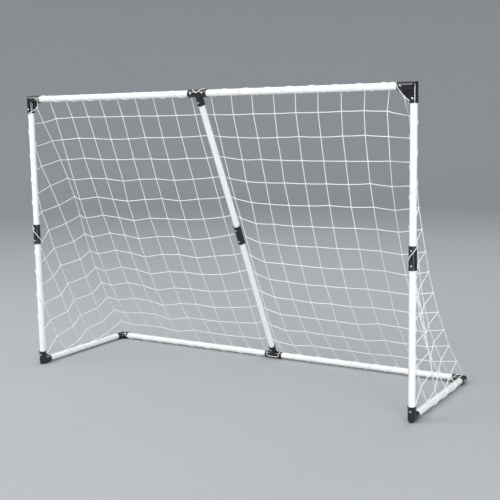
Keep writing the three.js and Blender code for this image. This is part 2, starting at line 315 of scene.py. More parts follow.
def spring_steel():
    """Plated spring steel with fine brushing and a few dull marks."""
    n = Nodes("button_steel")
    place = n.position()
    brushed = n.noise(n.scaled(place, (1.0, 0.2, 1.0)), 3200, 3)
    marks = n.spread(n.noise(place, 900, 4, 0.6), 0.52, 0.68)
    colour = n.mix(marks, (0.66, 0.665, 0.68, 1), (0.5, 0.49, 0.475, 1))
    rough = n.plus(n.spread(brushed, 0.3, 0.7, 0.16, 0.3), n.times(marks, 0.18))
    normal = n.bump(brushed, 0.2, 0.00004)
    return n.finish(colour, rough, normal, Metallic=1.0)


def studio_grey():
    """The matt floor and backdrop, with a faint grain."""
    n = Nodes("studio_grey")
    place = n.position()
    cloud = n.noise(place, 0.8, 3)
    grain = n.noise(place, 240, 3)
    colour = n.mix(cloud, (0.36, 0.37, 0.38, 1), (0.385, 0.395, 0.405, 1))
    return n.finish(colour, n.spread(cloud, 0.3, 0.7, 0.78, 0.9), n.bump(grain, 0.1, 0.0005))


TUBE_WHITE = tube_plastic()
FITTING_BLACK = fitting_plastic()
NET_WHITE = net_twine()
BUTTON_STEEL = spring_steel()
STUDIO_GREY = studio_grey()


# ---- meshes

def unit(v):
    v = np.asarray(v, float)
    return v / np.linalg.norm(v)


def make_piece(name, points, faces, material, local=None, normals=None):
    """A mesh object. `local` is each point's place across and along the piece, for its material."""
    mesh = bpy.data.meshes.new(name)
    mesh.from_pydata([tuple(p) for p in points], [], faces)
    mesh.materials.append(material)
    mesh.polygons.foreach_set("use_smooth", np.ones(len(mesh.polygons), bool))
    if local is not None:
        mesh.attributes.new("local", "FLOAT_VECTOR", "POINT")
        mesh.attributes["local"].data.foreach_set("vector", np.asarray(local, np.float32).ravel())
    if normals is not None:
        mesh.normals_split_custom_set_from_vertices([tuple(v) for v in normals])
    mesh.update()
    made = bpy.data.objects.new(name, mesh)
    bpy.context.scene.collection.objects.link(made)
    return made


def stands_for(made, slot, body, *nodes):
    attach(made, body)
    if nodes:
        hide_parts(*nodes)
    return made


def cross_axes(direction):
    """Two directions at right angles to this one and to each other."""
    helper = Z if abs(direction[2]) < 0.9 else X
    first = unit(np.cross(helper, direction))
    return first, np.cross(direction, first)


def band(first, second, count):
    """The quads between two rings of points, which start at these two indices."""
    turns = [(k, (k + 1) % count) for k in range(count)]
    return [(first + k, first + m, second + m, second + k) for k, m in turns]


# ---- tubes

def tube_mesh(start, direction, length, hole_places, sides=72):
    """A hollow tube as rings swept round, with rings close to each button's hole so that it cuts cleanly."""
    chamfer = 0.4 * MM
    inner = TUBE_RADIUS - TUBE_WALL
    beside_hole = 8 * MM
    rings_at = [chamfer, length - chamfer]
    for h in hole_places:
        rings_at += [h - beside_hole, h + beside_hole]
    rings_at = sorted(s for s in rings_at if 0 < s < length)
    outside = [(TUBE_RADIUS, s) for s in rings_at]
    inside = [(inner, s) for s in reversed(rings_at)]
    profile = ([(TUBE_RADIUS - chamfer, 0.0)] + outside + [(TUBE_RADIUS - chamfer, length)]
               + [(inner + chamfer, length)] + inside + [(inner + chamfer, 0.0)])
    across, up = cross_axes(direction)
    angles = np.linspace(0, 2 * math.pi, sides, endpoint=False) + 0.5 * math.pi / sides
    points, local = [], []
    for radius, s in profile:
        for a in angles:
            c, d = radius * math.cos(a), radius * math.sin(a)
            points.append(start + direction * s + across * c + up * d)
            local.append((c, d, s))
    faces = []
    count = len(profile)
    for k in range(count):
        faces += band(k * sides, (k + 1) % count * sides, sides)
    return points, faces, local


def plug_mesh(at, facing, radius, reach_in, reach_out, sides=28):
    """A short rod that cuts a button's hole."""
    across, up = cross_axes(facing)
    points = []
    for s in (reach_in, reach_out):
        for k in range(sides):
            a = 2 * math.pi * k / sides
            points.append(at + facing * s + across * radius * math.cos(a) + up * radius * math.sin(a))
    faces = [tuple(reversed(range(sides))), tuple(range(sides, 2 * sides))]
    return points, faces + band(0, sides, sides)


def cut_by(made, cutter):
    """Takes the cutter out of the piece and removes the cutter."""
    modifier = made.modifiers.new("cut", "BOOLEAN")
    modifier.operation = "DIFFERENCE"
    modifier.solver = "EXACT"
    modifier.object = cutter
    bpy.context.view_layer.update()
    evaluated = made.evaluated_get(bpy.context.evaluated_depsgraph_get())
    old = made.data
    made.data = bpy.data.meshes.new_from_object(evaluated)
    made.modifiers.clear()
    bpy.data.meshes.remove(old)
    bpy.data.objects.remove(cutter)


def add_tube(node, buttons):
    """The finer tube for one CAD tube; its buttons tell where the holes are and where they look."""
    low, high = (np.array(v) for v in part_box(node))
    size = high - low
    if node.startswith("brace"):
        direction = slant_down
        # The box of a slanted tube is longer than the tube's own rise by its ends' tilt.
        rise = size[2] - 2 * TUBE_RADIUS * abs(slant_down[1])
        length = rise / abs(slant_down[2])
    else:
        axis = int(np.argmax(size))
        direction = np.eye(3)[axis]
        length = size[axis]
    start = centre(node) - direction * length / 2
    holes = [float(np.dot(place - start, direction)) for place, _ in buttons]
    points, faces, local = tube_mesh(start, direction, length, holes)
    made = make_piece(node + "_fine", points, faces, TUBE_WHITE, local)
    for k, (place, facing) in enumerate(buttons):
        cutter_points, cutter_faces = plug_mesh(place, facing, BUTTON_HOLE_RADIUS, 4 * MM, 18 * MM)
        cut_by(made, make_piece(f"cutter_{k}", cutter_points, cutter_faces, TUBE_WHITE))
    return stands_for(made, "tube_white", "frame", node)


# ---- fittings as rounded solids

def smooth_min(a, b, k):
    h = np.maximum(k - np.abs(a - b), 0) / k
    return np.minimum(a, b) - h * h * k / 4


def smooth_max(a, b, k):
    return -smooth_min(-a, -b, k)


def distance_rod(p, direction, radius, start, end, edge):
    """Distance to a rod with rounded rims, from one height to another along a direction."""
    h = p @ direction
    r = np.sqrt(np.maximum((p * p).sum(1) - h * h, 0))
    across = r - (radius - edge)
    along = np.abs(h - (start + end) / 2) - ((end - start) / 2 - edge)
    outside = np.hypot(np.maximum(across, 0), np.maximum(along, 0))
    return np.minimum(np.maximum(across, along), 0) + outside - edge


def distance_box(p, low, high, edge):
    q = np.abs(p - (low + high) / 2) - ((high - low) / 2 - edge)
    return np.linalg.norm(np.maximum(q, 0), axis=1) + np.minimum(q.max(1), 0) - edge


def distance_web(p, first, second, arm):
    """The web in a corner's inner angle: a triangle with rounded edges."""
    u, v, w = p @ first, p @ second, np.abs(p @ np.cross(first, second))
    edge = arm - WEB_SETBACK
    rim = smooth_max(u - edge, v - edge, 4 * MM)
    rim = smooth_max(rim, (u + v - edge - FITTING_RADIUS) / math.sqrt(2), 5 * MM)
    rim = np.maximum(rim, np.maximum(-u, -v))
    return smooth_max(rim, w - WEB_THICKNESS / 2, 2.2 * MM)


def distance_arm(p, direction, arm, start=0.0):
    """An arm with a thicker, rounded collar at its mouth."""
    shaft = distance_rod(p, direction, FITTING_RADIUS, start, arm, 0.8 * MM)
    collar = distance_rod(p, direction, COLLAR_RADIUS, arm - COLLAR_LENGTH, arm, 1.1 * MM)
    return smooth_min(shaft, collar, 1.2 * MM)


def distance_run(p, direction, arm):
    """Two arms in line, which overlap so that their rounded rims leave no groove between them."""
    return np.minimum(*(distance_arm(p, way, arm, -ARM_OVERLAP) for way in (direction, -direction)))


def cut_arm(p, shape, direction, arm):
    stop = arm - INSERTION - STOP_GAP
    socket = distance_rod(p, direction, SOCKET_RADIUS, stop, arm + 10 * MM, 0.3 * MM)
    passage = distance_rod(p, direction, PASSAGE_RADIUS, -PASSAGE_RADIUS / 2, stop + 4 * MM, 1 * MM)
    return smooth_max(shape, -np.minimum(socket, passage), 0.7 * MM)


def cut_hole(p, shape, direction, arm, facing):
    q = p - direction * (arm - BUTTON_FROM_MOUTH)
    hole = distance_rod(q, facing, BUTTON_HOLE_RADIUS, PASSAGE_RADIUS, 30 * MM, 0.3 * MM)
    return smooth_max(shape, -hole, 1.0 * MM)


def cut_arms(p, shape, arms):
    for direction, arm, facing in arms:
        shape = cut_arm(p, shape, direction, arm)
        shape = cut_hole(p, shape, direction, arm, facing)
    return shape


def distance_pad(p, direction, start, end):
    half = np.abs(np.cross(Z, direction)) * PAD_WIDTH / 2
    a, b = direction * start, direction * end
    low = np.minimum(a, b) - half
    high = np.maximum(a, b) + half
    low[2], high[2] = -ground_z, PAD_TOP - ground_z + 2 * MM
    return distance_box(p, low, high, 0.9 * MM)


def corner_shape(first, second, arm, padded):
    def shape(p):
        reach = FITTING_RADIUS
        elbow = smooth_max(distance_rod(p, first[0], FITTING_RADIUS, -reach, reach, 1.5 * MM),
                           distance_rod(p, second[0], FITTING_RADIUS, -reach, reach, 1.5 * MM), 2.5 * MM)
        arms = smooth_min(distance_arm(p, first[0], arm), distance_arm(p, second[0], arm), 1 * MM)
        whole = smooth_min(elbow, arms, 1 * MM)
        whole = smooth_min(whole, distance_web(p, first[0], second[0], arm), 3.5 * MM)
        if padded:
            start = PAD_EDGE - FITTING_RADIUS
            whole = smooth_min(whole, distance_pad(p, second[0], start, start + PAD_LENGTH), 1.5 * MM)
        return cut_arms(p, whole, [(first[0], arm, first[1]), (second[0], arm, second[1])])
    return shape


def coupler_shape(direction, arm, facing):
    def shape(p):
        whole = distance_run(p, direction, arm)
        return cut_arms(p, whole, [(direction, arm, facing), (-direction, arm, facing)])
    return shape


def tee_shape(arm, branch, branch_arm, branch_facing, run_facing, padded):
    def shape(p):
        whole = smooth_min(distance_run(p, X, arm), distance_arm(p, branch, branch_arm), 4 * MM)
        if padded:
            whole = smooth_min(whole, distance_pad(p, X, PAD_EDGE - arm, arm - PAD_EDGE), 1.5 * MM)
        arms = [(X, arm, run_facing), (-X, arm, run_facing), (branch, branch_arm, branch_facing)]
        return cut_arms(p, whole, arms)
    return shape


def gradient(shape, p, h=0.02 * MM):
    steps = [shape(p + h * axis) - shape(p - h * axis) for axis in np.eye(3)]
    g = np.stack(steps, 1) / (2 * h)
    return g / np.maximum(np.linalg.norm(g, axis=1, keepdims=True), 1e-9)


def surface_of(shape, low, high, step):
    """Points, quads and exact normals of the surface where a shape's distance is nought."""
    axes = [np.arange(a - 2 * step, b + 3 * step, step) for a, b in zip(low, high)]
    grid = np.stack(np.meshgrid(*axes, indexing="ij"), -1)
    size = grid.shape[:3]
    value = shape(grid.reshape(-1, 3)).reshape(size)
    inside = value < 0
    cells = tuple(s - 1 for s in size)
    total, count = np.zeros(cells + (3,)), np.zeros(cells)
    quads = []
    for axis in range(3):
        others = [k for k in range(3) if k != axis]
        a = tuple(slice(0, -1) if k == axis else slice(None) for k in range(3))
        b = tuple(slice(1, None) if k == axis else slice(None) for k in range(3))
        crossing = inside[a] != inside[b]
        t = value[a] / np.where(crossing, value[a] - value[b], 1)
        place = grid[a] + (grid[b] - grid[a]) * t[..., None]
        for i in (0, 1):
            for j in (0, 1):
                cut = [slice(None)] * 3
                cut[others[0]] = slice(i, size[others[0]] - 1 + i)
                cut[others[1]] = slice(j, size[others[1]] - 1 + j)
                cut = tuple(cut)
                total += np.where(crossing[cut][..., None], place[cut], 0)
                count += crossing[cut]
        at = np.argwhere(crossing)
        at = at[(at[:, others[0]] > 0) & (at[:, others[1]] > 0)]
        quads.append((axis, others, at, inside[a][tuple(at.T)]))
    used = count > 0
    number = np.full(cells, -1)
    number[used] = np.arange(used.sum())
    p = total[used] / count[used][:, None]
    faces = []
    for axis, others, at, solid_first in quads:
        ring = []
        for i, j in ((0, 0), (1, 0), (1, 1), (0, 1)):
            cell = at.copy()
            cell[:, others[0]] -= i
            cell[:, others[1]] -= j
            ring.append(number[tuple(cell.T)])
        ring = np.stack(ring, 1)
        flip = solid_first == (axis == 1)
        ring[flip] = ring[flip][:, ::-1]
        faces.append(ring)
    for _ in range(4):
        g = gradient(shape, p)
        d = np.clip(shape(p), -0.4 * step, 0.4 * step)
        p = p - g * d[:, None]
    return p, np.concatenate(faces), gradient(shape, p)


def add_fitting(node, at, shape, step=0.9 * MM):
    low, high = (np.array(v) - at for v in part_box(node))
    points, faces, normals = surface_of(shape, low, high, step)
    made = make_piece(node + "_fine", points + at, faces.tolist(), FITTING_BLACK, None, normals)
    return stands_for(made, "fitting_black", "frame", node)


TOP_ARM = float(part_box("top_corner_left")[1][0]) + side_x
FOOT_ARM = float(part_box("foot_corner_left")[1][2]) - ground_z
COUPLER_ARM = float(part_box("upright_coupler_left")[1][2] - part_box("upright_coupler_left")[0][2]) / 2
TEE_ARM = float(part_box("top_tee")[1][0])

coupler_z = centre("upright_coupler_left")[2]
brace_middle = centre("brace_coupler")
brace_facing = -slant_out

for side, sign in (("left", -1), ("right", 1)):
    x = sign * side_x
    inward, outward = -sign * X, sign * X
    add_fitting(f"top_corner_{side}", np.array((x, front_y, top_z)),
                corner_shape((inward, -Y), (-Z, -Y), TOP_ARM, False))
    add_fitting(f"foot_corner_{side}", np.array((x, front_y, ground_z)),
                corner_shape((Z, -Y), (Y, outward), FOOT_ARM, True))
    add_fitting(f"rear_corner_{side}", np.array((x, rear_y, ground_z)),
                corner_shape((inward, Z), (-Y, outward), FOOT_ARM, True))
    add_fitting(f"upright_coupler_{side}", np.array((x, front_y, coupler_z)),
                coupler_shape(Z, COUPLER_ARM, -Y))
add_fitting("top_tee", top_middle, tee_shape(TEE_ARM, slant_down, TEE_BRANCH, brace_facing, -Y, False))
add_fitting("rear_tee", rear_middle, tee_shape(TEE_ARM, -slant_down, TEE_BRANCH, brace_facing, Z, True))
add_fitting("brace_coupler", brace_middle, coupler_shape(slant_down, COUPLER_ARM, brace_facing))


# ---- snap buttons

def swept_outline(outline, width):
    """A flat closed outline given a width across it, with slightly bevelled rims."""
    bevel = 0.2 * MM
    outline = np.asarray(outline)
    following = np.roll(outline, -1, 0) - np.roll(outline, 1, 0)
    inward = np.stack([-following[:, 1], following[:, 0]], 1)
    inward /= np.linalg.norm(inward, axis=1, keepdims=True)
    area = np.sum(outline[:, 0] * np.roll(outline[:, 1], -1) - np.roll(outline[:, 0], -1) * outline[:, 1])
    if area < 0:
        inward = -inward
    shrunk = outline + inward * bevel
    count = len(outline)
    side = width / 2
    layers = [(shrunk, -side), (outline, -side + bevel), (outline, side - bevel), (shrunk, side)]
    points = [(p[0], p[1], w) for ring, w in layers for p in ring]
    faces = []
    for k in range(len(layers) - 1):
        faces += band(k * count, (k + 1) * count, count)
    faces += [tuple(reversed(range(count))), tuple(range(3 * count, 4 * count))]
    if area < 0:
        faces = [tuple(reversed(f)) for f in faces]
    return points, faces


def leaf_outline():
    """The bent steel leaf from its side: X along the tube, Y towards the button."""
    inner = LEAF_OUTER - LEAF_THICKNESS
    bend_y = LEAF_OUTER - LEAF_BEND_RADIUS
    heel_y = bend_y - LEAF_BEND_RADIUS
    turn = np.linspace(math.pi / 2, -math.pi / 2, 13)
    small = LEAF_BEND_RADIUS - LEAF_THICKNESS
    points = [(-BUTTON_RADIUS - 1 * MM, LEAF_OUTER), (-BUTTON_RADIUS - 1 * MM, inner)]
    points += [(LEAF_LENGTH + small * math.cos(a), bend_y + small * math.sin(a)) for a in turn]
    heel_end = LEAF_LENGTH - HEEL_LENGTH
    points += [(heel_end, heel_y - HEEL_DROP + LEAF_THICKNESS), (heel_end, heel_y - HEEL_DROP)]
    points += [(LEAF_LENGTH + LEAF_BEND_RADIUS * math.cos(a), bend_y + LEAF_BEND_RADIUS * math.sin(a))
               for a in reversed(turn)]
    return points


def button_profile():
    """The round button: straight sides and a domed crown."""
    crown = COLLAR_RADIUS + BUTTON_PROUD
    foot = LEAF_OUTER - 0.4 * MM
    dome = 1.7 * MM
    profile = [(0.0, foot), (BUTTON_RADIUS, foot), (BUTTON_RADIUS, crown - dome - 0.2 * MM)]
    for a in np.linspace(0, math.pi / 2, 9):
        profile.append((BUTTON_RADIUS * math.cos(a) ** 0.75, crown - dome + dome * math.sin(a)))
    profile[-1] = (0.0, crown)
    return profile


def button_mesh(sides=32):
    points, faces = swept_outline(leaf_outline(), LEAF_WIDTH)
    first = len(points)
    profile = button_profile()
    rings = profile[1:-1]
    points.append((0, profile[0][1], 0))
    for radius, y in rings:
        for k in range(sides):
            a = 2 * math.pi * k / sides
            points.append((radius * math.sin(a), y, radius * math.cos(a)))
    points.append((0, profile[-1][1], 0))
    last = len(points) - 1
    starts = [first + 1 + ring * sides for ring in range(len(rings))]
    for k in range(sides):
        m = (k + 1) % sides
        faces.append((first, starts[0] + m, starts[0] + k))
        faces.append((last, starts[-1] + k, starts[-1] + m))
    for low, high in zip(starts, starts[1:]):
        faces += band(low, high, sides)
    return np.array(points, float), faces


BUTTON_POINTS, BUTTON_FACES = button_mesh()


def add_button(node, place, along, facing):
    axes = np.stack([along, facing, np.cross(along, facing)])
    points = BUTTON_POINTS @ axes + place
    made = make_piece(node + "_fine", points, BUTTON_FACES, BUTTON_STEEL)
    body = node.replace("snap_", "")
    return stands_for(made, "button_steel", body, node)


def tube_ends():
    """Each tube with its two ends (the fitting's centre, its arm, the end's name) and its buttons' facing."""
    ends = []
    for side, sign in (("left", -1), ("right", 1)):
        x = sign * side_x
        top, middle, foot = (np.array((x, front_y, z)) for z in (top_z, coupler_z, ground_z))
        rear = np.array((x, rear_y, ground_z))
        ends += [
            (f"crossbar_tube_{side}", (top, TOP_ARM, "outer"), (top_middle, TEE_ARM, "inner"), -Y),
            (f"upright_tube_upper_{side}", (top, TOP_ARM, "top"), (middle, COUPLER_ARM, "bottom"), -Y),
            (f"upright_tube_lower_{side}", (middle, COUPLER_ARM, "top"), (foot, FOOT_ARM, "bottom"), -Y),
            (f"side_tube_{side}", (foot, FOOT_ARM, "front"), (rear, FOOT_ARM, "rear"), sign * X),
            (f"rear_tube_{side}", (rear, FOOT_ARM, "outer"), (rear_middle, TEE_ARM, "inner"), Z),
        ]
    ends.append(("brace_tube_upper", (top_middle, TEE_BRANCH, "top"),
                 (brace_middle, COUPLER_ARM, "bottom"), brace_facing))
    ends.append(("brace_tube_lower", (brace_middle, COUPLER_ARM, "top"),
                 (rear_middle, TEE_BRANCH, "bottom"), brace_facing))
    return ends


for node, (first, first_arm, first_label), (second, second_arm, second_label), facing in tube_ends():
    direction = unit(second - first)
    first_place = first + direction * (first_arm - BUTTON_FROM_MOUTH)
    second_place = second - direction * (second_arm - BUTTON_FROM_MOUTH)
    label = "snap_button_" + node.replace("_tube", "")
    add_tube(node, [(first_place, facing), (second_place, facing)])
    add_button(f"{label}_{first_label}", first_place, direction, facing)
    add_button(f"{label}_{second_label}", second_place, -direction, facing)


# ---- the net, relaxed under its own weight

rng = np.random.default_rng(7)


class Web:
    """Points joined by cords of fixed length. Held points stay where they are."""

    def __init__(self):
        self.points, self.held, self.links, self.bends = [], [], [], []

    def point(self, place, held=False):
        self.points.append(np.asarray(place, float))
        self.held.append(held)
        return len(self.points) - 1

    def strand(self, a, b, slack):
        """A cord between two points, with smaller points along it."""
        pa, pb = self.points[a], self.points[b]
        length = np.linalg.norm(pb - pa) * (1 + slack)
        chain = [a]
        for k in range(1, SUB_NODES + 1):
            place = pa + (pb - pa) * k / (SUB_NODES + 1)
            chain.append(self.point(place + rng.normal(0, 0.6 * MM, 3)))
        chain.append(b)
        self.links += [(p, q, length / (SUB_NODES + 1)) for p, q in zip(chain, chain[1:])]
        self.bends += list(zip(chain, chain[1:], chain[2:]))
        return chain

    def relax(self, steps, keep_out):
        """Lets the net sag, step by step, until it hangs still."""
        p = np.array(self.points)
        free = ~np.array(self.held)
        weight = free.astype(float)
        groups = self.grouped()
        a, b, c = np.array(self.bends).T
        before = p.copy()
        pull = np.zeros_like(p)
        pull[:, 2] = -GRAVITY
        pull[:, 0] = np.where(np.abs(p[:, 0]) > side_x - SIDE_DEPTH, -np.sign(p[:, 0]) * INWARD_PULL, 0)
        for _ in range(steps):
            drift = (p - before) * DRIFT_KEPT
            before = p.copy()
            p[free] += (drift + pull * TIME_STEP ** 2)[free]
            for _ in range(ROUNDS_PER_STEP):
                for i, j, rest in groups:
                    gap = p[j] - p[i]
                    length = np.linalg.norm(gap, axis=1)
                    total = np.maximum(weight[i] + weight[j], 1)
                    stretch = length - rest
                    stretch *= np.where(stretch > 0, 1, PUSH_RESISTANCE)
                    push = gap * (stretch / length / total)[:, None]
                    p[i] += push * weight[i][:, None]
                    p[j] -= push * weight[j][:, None]
                middle = (p[a] + p[c]) / 2 - p[b]
                p[b] += middle * BEND_RESISTANCE * weight[b][:, None]
                keep_out(p, free)
        self.points = list(p)

    def grouped(self):
        """The links in groups that share no point, so that a group can be solved at once."""
        taken, groups = [], []
        for link in self.links:
            for seen, group in zip(taken, groups):
                if link[0] not in seen and link[1] not in seen:
                    break
            else:
                seen, group = set(), []
                taken.append(seen)
                groups.append(group)
            seen.update(link[:2])
            group.append(link)
        return [tuple(np.array(column) for column in zip(*group)) for group in groups]


def joined(*chains):
    """Chains end to end, without the shared points twice."""
    whole = list(chains[0])
    for chain in chains[1:]:
        whole += chain[1:]
    return whole


def radius_at(distance, *fittings):
    """How far a bar's surface is from its axis: the tube's, or that of a fitting whose arm reaches there."""
    radius = np.full(np.shape(distance), TUBE_RADIUS)
    for place, arm in fittings:
        gap = np.abs(np.asarray(distance) - place)
        on_arm = np.clip((arm - gap) / RAMP + 1, 0, 1)
        from_collar = np.abs(gap - (arm - COLLAR_LENGTH / 2))
        on_collar = np.clip(COLLAR_FLAT * (1 - from_collar / (2 * RAMP)), 0, 1)
        radius = np.maximum(radius, TUBE_RADIUS + (FITTING_RADIUS - TUBE_RADIUS) * on_arm)
        radius = np.maximum(radius, TUBE_RADIUS + (COLLAR_RADIUS - TUBE_RADIUS) * on_collar)
    return radius


def crossbar_radius(x):
    return radius_at(x, (-side_x, TOP_ARM), (0, TEE_ARM), (side_x, TOP_ARM))


def rear_bar_radius(x):
    return radius_at(x, (-side_x, FOOT_ARM), (0, TEE_ARM), (side_x, FOOT_ARM))


def upright_radius(z):
    return radius_at(z, (ground_z, FOOT_ARM), (coupler_z, COUPLER_ARM), (top_z, TOP_ARM))


def side_tube_radius(y):
    return radius_at(y, (front_y, FOOT_ARM), (rear_y, FOOT_ARM))


def row_slack(j, spread):
    return TOP_ROW_SLACK + ROW_SLACK_GAIN * j / BACK_ROWS + rng.uniform(*spread)


web = Web()
column_x = np.linspace(-side_x, side_x, BACK_COLUMNS + 1)
mesh_size = slant_length / BACK_ROWS
# One mesh, measured along an upright or a side tube: these cross the slanted rows and columns.
tube_step = mesh_size / -slant_down[2]
upright_levels = [top_z - j * tube_step for j in range(1, 2 * SIDE_COLUMNS + 1)]
clear_of_coupler = COUPLER_ARM + CLEAR_OF_MOUTH
upright_levels = [z if abs(z - coupler_z) >= clear_of_coupler else coupler_z - clear_of_coupler
                  for z in upright_levels]
side_stations = [rear_y - k * tube_step for k in range(1, SIDE_COLUMNS)]

# The net's folds between back and side: free knots, one on each row.
fold = {}
for sign in (-1, 1):
    x = sign * side_x
    fold[sign, 0] = web.point((sign * (side_x - TOP_TIE), front_y, top_z - TOP_TIE), True)
    for j in range(1, BACK_ROWS):
        place = top_middle + slant_down * mesh_size * j + slant_out * (TUBE_RADIUS + CORD_RADIUS) + X * x
        fold[sign, j] = web.point(place + rng.normal(0, 1 * MM, 3))
    lift = float(rear_bar_radius(x)) + CORD_RADIUS
    fold[sign, BACK_ROWS] = web.point(rear_middle + slant_out * lift + X * x, True)

# The back panel: knots in rows and columns.
knots = {}
for i, x in enumerate(column_x):
    for j in range(BACK_ROWS + 1):
        if i in (0, BACK_COLUMNS):
            knots[i, j] = fold[-1 if i == 0 else 1, j]
            continue
        lift = TUBE_RADIUS + CORD_RADIUS
        if j == 0:
            lift = float(crossbar_radius(x)) + CORD_RADIUS
        if j == BACK_ROWS:
            lift = float(rear_bar_radius(x)) + CORD_RADIUS
        place = top_middle + slant_down * mesh_size * j + slant_out * lift + X * x
        held = j in (0, BACK_ROWS)
        if not held:
            place = place + rng.normal(0, 1, 3) * (1.5 * MM, 0.6 * MM, 1.5 * MM)
        knots[i, j] = web.point(place, held)

back_cords = []
for j in range(1, BACK_ROWS):
    chains = [web.strand(knots[i, j], knots[i + 1, j], row_slack(j, BACK_ROW_SPREAD))
              for i in range(BACK_COLUMNS)]
    back_cords.append(joined(*chains))
for i in range(1, BACK_COLUMNS):
    chains = [web.strand(knots[i, j], knots[i, j + 1], rng.uniform(*BACK_COLUMN_SLACK))
              for j in range(BACK_ROWS)]
    back_cords.append(joined(*chains))

# The side panels: the rows go on from the folds, forwards and down, to the upright or the side tube, and the
# columns lie beside the fold.
side_cords, side_ties, foot_ties = {}, {}, {}
for sign in (-1, 1):
    x = sign * side_x
    corner = np.array((x, front_y, top_z))
    on_upright = [web.point((x, front_y + float(upright_radius(z)) + CORD_RADIUS, z), True)
                  for z in upright_levels]
    on_tube = [web.point((x, y, ground_z + float(side_tube_radius(y)) + CORD_RADIUS), True)
               for y in side_stations]
    foot_tie = web.point((x, front_y + CORNER_TIE, ground_z + CORNER_TIE), True)
    rows = {j: [fold[sign, j]] for j in range(1, BACK_ROWS)}
    columns = {0: [fold[sign, j] for j in range(BACK_ROWS + 1)]}
    inside = []
    for k in range(1, SIDE_COLUMNS + 1):
        columns[k] = [on_upright[2 * k - 1]]
        if k == SIDE_COLUMNS:
            columns[k].append(foot_tie)
            continue
        last_row = BACK_ROWS - 1 - k // 2
        for j in range(2 * k + 1, last_row + 1):
            place = corner + slant_down * mesh_size * j - slant_out * mesh_size * k
            knot = web.point(place + rng.normal(0, 2 * MM, 3))
            inside.append(knot)
            columns[k].append(knot)
            rows[j].append(knot)
        columns[k].append(on_tube[k - 1])
    for j in rows:
        if j <= 2 * SIDE_COLUMNS:
            rows[j].append(on_upright[j - 1])
        elif j == 2 * SIDE_COLUMNS + 1:
            rows[j].append(foot_tie)
        else:
            rows[j].append(on_tube[2 * (BACK_ROWS - j) - 1])
    side_cords[sign] = []
    for j, run in rows.items():
        chains = [web.strand(a, b, row_slack(j, SIDE_ROW_SPREAD)) for a, b in zip(run, run[1:])]
        side_cords[sign].append(joined(*chains))
    for run in columns.values():
        chains = [web.strand(a, b, rng.uniform(*SIDE_COLUMN_SLACK)) for a, b in zip(run, run[1:])]
        side_cords[sign].append(joined(*chains))
    side_ties[sign] = on_upright + on_tube + inside + [foot_tie]
    foot_ties[sign] = foot_tie


def keep_out(p, free):
    """The brace and its fittings stand in front of the back of the net; nothing hangs below the ground."""
    offset = p - top_middle
    along = offset @ slant_down
    out = offset @ slant_out
    gap = np.abs(along[:, None] - np.array((0, slant_length / 2, slant_length)))
    reach = np.array((TEE_BRANCH, COUPLER_ARM, TEE_BRANCH)) + RAMP
    radius = np.where((gap < reach).any(1), COLLAR_RADIUS, TUBE_RADIUS) + CORD_RADIUS
    inside = free & (np.hypot(offset[:, 0], out) < radius) & (np.abs(offset[:, 0]) < radius)
    lifted = np.sqrt(np.maximum(radius ** 2 - offset[:, 0] ** 2, 0))
    p[inside] += slant_out * (lifted - out)[inside, None]
    p[free, 2] = np.maximum(p[free, 2], LOWEST)


web.relax(RELAX_STEPS, keep_out)
net = np.array(web.points)


# ---- cords and knots as meshes

def curve_through(places, spacing):
    """A smooth run of points through these places."""
    places = np.asarray(places)
    ends = np.concatenate([[2 * places[0] - places[1]], places, [2 * places[-1] - places[-2]]])
    out = []
    for p0, p1, p2, p3 in zip(ends, ends[1:], ends[2:], ends[3:]):
        count = max(1, int(round(np.linalg.norm(p2 - p1) / spacing)))
        for t in np.arange(count) / count:
            out.append(0.5 * (2 * p1 + (p2 - p0) * t + (2 * p0 - 5 * p1 + 4 * p2 - p3) * t ** 2
                              + (3 * p1 - p0 - 3 * p2 + p3) * t ** 3))
    out.append(places[-1])
    return np.array(out)


class Sweep:
    """Round cords gathered into one mesh."""

    def __init__(self):
        self.points, self.faces, self.local = [], [], []
        self.count = 0

    def cord(self, path, radius, sides=8, closed=False):
        path = np.asarray(path)
        if closed:
            tangent = np.roll(path, -1, 0) - np.roll(path, 1, 0)
        else:
            tangent = np.gradient(path, axis=0)
        tangent /= np.linalg.norm(tangent, axis=1, keepdims=True)
        normal, _ = cross_axes(tangent[0])
        normals = []
        for t in tangent:
            normal = normal - t * (normal @ t)
            normal = normal / np.linalg.norm(normal)
            normals.append(normal)
        normals = np.array(normals)
        sideways = np.cross(tangent, normals)
        length = np.concatenate([[0], np.cumsum(np.linalg.norm(np.diff(path, axis=0), axis=1))])
        length = length + rng.uniform(0, 1)
        angle = np.linspace(0, 2 * math.pi, sides, endpoint=False)
        across, up = radius * np.cos(angle), radius * np.sin(angle)
        points = path[:, None] + normals[:, None] * across[:, None] + sideways[:, None] * up[:, None]
        local = np.empty_like(points)
        local[..., 0] = across
        local[..., 1] = up
        local[..., 2] = length[:, None]
        n = len(path)
        index = self.count + np.arange(n * sides).reshape(n, sides)
        last = n if closed else n - 1
        following = np.roll(index, -1, 0)
        a, b = index[:last], following[:last]
        quads = np.stack([a, np.roll(a, -1, 1), np.roll(b, -1, 1), b], -1).reshape(-1, 4)
        self.faces += quads.tolist()
        if not closed:
            self.faces += [index[0][::-1].tolist(), index[-1].tolist()]
        self.points.append(points.reshape(-1, 3))
        self.local.append(local.reshape(-1, 3))
        self.count += n * sides

    def piece(self, name):
        points, local = np.concatenate(self.points), np.concatenate(self.local)
        return make_piece(name, points, self.faces, NET_WHITE, local)


